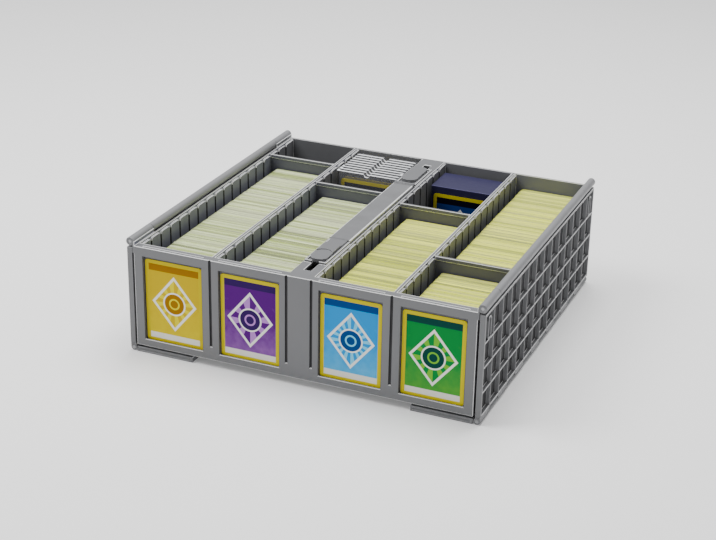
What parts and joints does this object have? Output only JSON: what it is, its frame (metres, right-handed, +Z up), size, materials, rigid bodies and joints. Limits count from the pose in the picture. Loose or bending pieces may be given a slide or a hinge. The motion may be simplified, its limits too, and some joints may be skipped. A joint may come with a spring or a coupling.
{
  "type": "trading card storage bin",
  "caption": "Open grey card bin with divided rows, display windows, a lift-up strap handle and folding lattice lids hung down its sides and tucked under it.",
  "frame": {"origin": "on the ground under the middle of the bin, which stands on its folded lid flaps", "axes": "+X to the right across the card rows, +Y from the window front to the back, +Z up"},
  "size_m": [0.374, 0.361, 0.1232],
  "materials": {
    "grey_plastic": "satin",
    "pin_steel": "satin",
    "card_stock": "matte",
    "yellow_card": "satin",
    "purple_card": "satin",
    "blue_card": "satin",
    "green_card": "satin",
    "clear_plastic": "gloss",
    "navy_plastic": "satin"
  },
  "bodies": {
    "bin": {"bin_body": "grey_plastic", "handle_rear_pad": "grey_plastic", "left_lid_pin": "pin_steel", "right_lid_pin": "pin_steel"},
    "left_lid": {"left_lid_panel": "grey_plastic", "left_flap_pin": "pin_steel"},
    "left_flap": {"left_lid_flap": "grey_plastic"},
    "right_lid": {"right_lid_panel": "grey_plastic", "right_flap_pin": "pin_steel"},
    "right_flap": {"right_lid_flap": "grey_plastic"},
    "handle_rear_link": {"handle_rear_link": "grey_plastic"},
    "handle_grip": {"handle_grip": "grey_plastic"},
    "handle_front_link": {"handle_front_link": "grey_plastic"},
    "handle_front_pad": {"handle_front_pad": "grey_plastic"},
    "divider_1": {"divider_row_1": "grey_plastic"},
    "divider_2": {"divider_row_2": "grey_plastic"},
    "divider_3": {"divider_row_3": "grey_plastic"},
    "divider_4": {"divider_row_4": "grey_plastic"},
    "window_card_1": {"display_card_1": "yellow_card"},
    "window_card_2": {"display_card_2": "purple_card"},
    "window_card_3": {"display_card_3": "blue_card"},
    "window_card_4": {"display_card_4": "green_card"},
    "card_row_1": {"card_row_1": "card_stock"},
    "card_row_2": {"card_row_2": "card_stock"},
    "card_row_3": {"card_row_3": "card_stock"},
    "card_row_4_front": {"card_row_4_front": "card_stock"},
    "card_row_4_rear": {"card_row_4_rear": "card_stock"},
    "sleeve_1": {"card_sleeve_1": "clear_plastic", "sleeved_card_1": "yellow_card"},
    "sleeve_2": {"card_sleeve_2": "clear_plastic", "sleeved_card_2": "yellow_card"},
    "sleeve_3": {"card_sleeve_3": "clear_plastic", "sleeved_card_3": "yellow_card"},
    "sleeve_4": {"card_sleeve_4": "clear_plastic", "sleeved_card_4": "yellow_card"},
    "sleeve_5": {"card_sleeve_5": "clear_plastic", "sleeved_card_5": "yellow_card"},
    "sleeve_6": {"card_sleeve_6": "clear_plastic", "sleeved_card_6": "yellow_card"},
    "sleeve_7": {"card_sleeve_7": "clear_plastic", "sleeved_card_7": "yellow_card"},
    "sleeve_8": {"card_sleeve_8": "clear_plastic", "sleeved_card_8": "yellow_card"},
    "sleeve_9": {"card_sleeve_9": "clear_plastic", "sleeved_card_9": "yellow_card"},
    "loose_card": {"single_card": "blue_card"},
    "deck": {"deck_box": "navy_plastic", "deck_box_cards": "card_stock"},
    "deck_lid": {"deck_box_lid": "navy_plastic"}
  },
  "joints": [
    {"name": "left_lid_swing", "type": "hinge", "parent": "bin", "child": "left_lid", "pos_m": [-0.1827, 0, 0.11895], "axis": [0, 1, 0], "range_deg": [0, 270]},
    {"name": "left_flap_fold", "type": "hinge", "parent": "left_lid", "child": "left_flap", "pos_m": [-0.1827, 0, 0.0036], "axis": [0, 1, 0], "range_deg": [0, 90]},
    {"name": "right_lid_swing", "type": "hinge", "parent": "bin", "child": "right_lid", "pos_m": [0.1827, 0, 0.11895], "axis": [0, -1, 0], "range_deg": [0, 270]},
    {"name": "right_flap_fold", "type": "hinge", "parent": "right_lid", "child": "right_flap", "pos_m": [0.1827, 0, 0.0036], "axis": [0, -1, 0], "range_deg": [0, 90]},
    {"name": "handle_rear_bend", "type": "hinge", "parent": "bin", "child": "handle_rear_link", "pos_m": [0, 0.0835, 0.1169], "axis": [-1, 0, 0], "range_deg": [0, 32]},
    {"name": "handle_rear_knee", "type": "hinge", "parent": "handle_rear_link", "child": "handle_grip", "pos_m": [0, 0.0335, 0.1169], "axis": [-1, 0, 0], "range_deg": [-32, 0]},
    {"name": "handle_front_knee", "type": "hinge", "parent": "handle_grip", "child": "handle_front_link", "pos_m": [0, -0.0335, 0.1169], "axis": [-1, 0, 0], "range_deg": [-32, 0]},
    {"name": "handle_front_bend", "type": "hinge", "parent": "handle_front_link", "child": "handle_front_pad", "pos_m": [0, -0.0835, 0.1169], "axis": [-1, 0, 0], "range_deg": [0, 32]},
    {"name": "divider_1_lift", "type": "slide", "parent": "bin", "child": "divider_1", "axis": [0, 0, 1], "range_m": [0, 0.115]},
    {"name": "divider_2_lift", "type": "slide", "parent": "bin", "child": "divider_2", "axis": [0, 0, 1], "range_m": [0, 0.115]},
    {"name": "divider_3_lift", "type": "slide", "parent": "bin", "child": "divider_3", "axis": [0, 0, 1], "range_m": [0, 0.115]},
    {"name": "divider_4_lift", "type": "slide", "parent": "bin", "child": "divider_4", "axis": [0, 0, 1], "range_m": [0, 0.115]},
    {"name": "window_card_1_lift", "type": "slide", "parent": "bin", "child": "window_card_1", "axis": [0, 0, 1], "range_m": [0, 0.115]},
    {"name": "window_card_2_lift", "type": "slide", "parent": "bin", "child": "window_card_2", "axis": [0, 0, 1], "range_m": [0, 0.115]},
    {"name": "window_card_3_lift", "type": "slide", "parent": "bin", "child": "window_card_3", "axis": [0, 0, 1], "range_m": [0, 0.115]},
    {"name": "window_card_4_lift", "type": "slide", "parent": "bin", "child": "window_card_4", "axis": [0, 0, 1], "range_m": [0, 0.115]},
    {"name": "card_row_1_lift", "type": "slide", "parent": "bin", "child": "card_row_1", "axis": [0, 0, 1], "range_m": [0, 0.115]},
    {"name": "card_row_2_lift", "type": "slide", "parent": "bin", "child": "card_row_2", "axis": [0, 0, 1], "range_m": [0, 0.115]},
    {"name": "card_row_3_lift", "type": "slide", "parent": "bin", "child": "card_row_3", "axis": [0, 0, 1], "range_m": [0, 0.115]},
    {"name": "card_row_4_front_lift", "type": "slide", "parent": "bin", "child": "card_row_4_front", "axis": [0, 0, 1], "range_m": [0, 0.115]},
    {"name": "card_row_4_rear_lift", "type": "slide", "parent": "bin", "child": "card_row_4_rear", "axis": [0, 0, 1], "range_m": [0, 0.115]},
    {"name": "sleeve_1_lift", "type": "slide", "parent": "bin", "child": "sleeve_1", "axis": [0, 0, 1], "range_m": [0, 0.115]},
    {"name": "sleeve_2_lift", "type": "slide", "parent": "bin", "child": "sleeve_2", "axis": [0, 0, 1], "range_m": [0, 0.115]},
    {"name": "sleeve_3_lift", "type": "slide", "parent": "bin", "child": "sleeve_3", "axis": [0, 0, 1], "range_m": [0, 0.115]},
    {"name": "sleeve_4_lift", "type": "slide", "parent": "bin", "child": "sleeve_4", "axis": [0, 0, 1], "range_m": [0, 0.115]},
    {"name": "sleeve_5_lift", "type": "slide", "parent": "bin", "child": "sleeve_5", "axis": [0, 0, 1], "range_m": [0, 0.115]},
    {"name": "sleeve_6_lift", "type": "slide", "parent": "bin", "child": "sleeve_6", "axis": [0, 0, 1], "range_m": [0, 0.115]},
    {"name": "sleeve_7_lift", "type": "slide", "parent": "bin", "child": "sleeve_7", "axis": [0, 0, 1], "range_m": [0, 0.115]},
    {"name": "sleeve_8_lift", "type": "slide", "parent": "bin", "child": "sleeve_8", "axis": [0, 0, 1], "range_m": [0, 0.115]},
    {"name": "sleeve_9_lift", "type": "slide", "parent": "bin", "child": "sleeve_9", "axis": [0, 0, 1], "range_m": [0, 0.115]},
    {"name": "loose_card_lift", "type": "slide", "parent": "bin", "child": "loose_card", "axis": [0, 0, 1], "range_m": [0, 0.115]},
    {"name": "deck_lift", "type": "slide", "parent": "bin", "child": "deck", "axis": [0, 0, 1], "range_m": [0, 0.115]},
    {"name": "deck_lid_lift", "type": "slide", "parent": "deck", "child": "deck_lid", "axis": [0, 0, 1], "range_m": [0, 0.035]}
  ],
  "couplings": [
    {"joint": "handle_rear_knee", "follows": "handle_rear_bend", "ratio": -1},
    {"joint": "handle_front_knee", "follows": "handle_rear_bend", "ratio": -1},
    {"joint": "handle_front_bend", "follows": "handle_rear_bend", "ratio": 1}
  ]
}
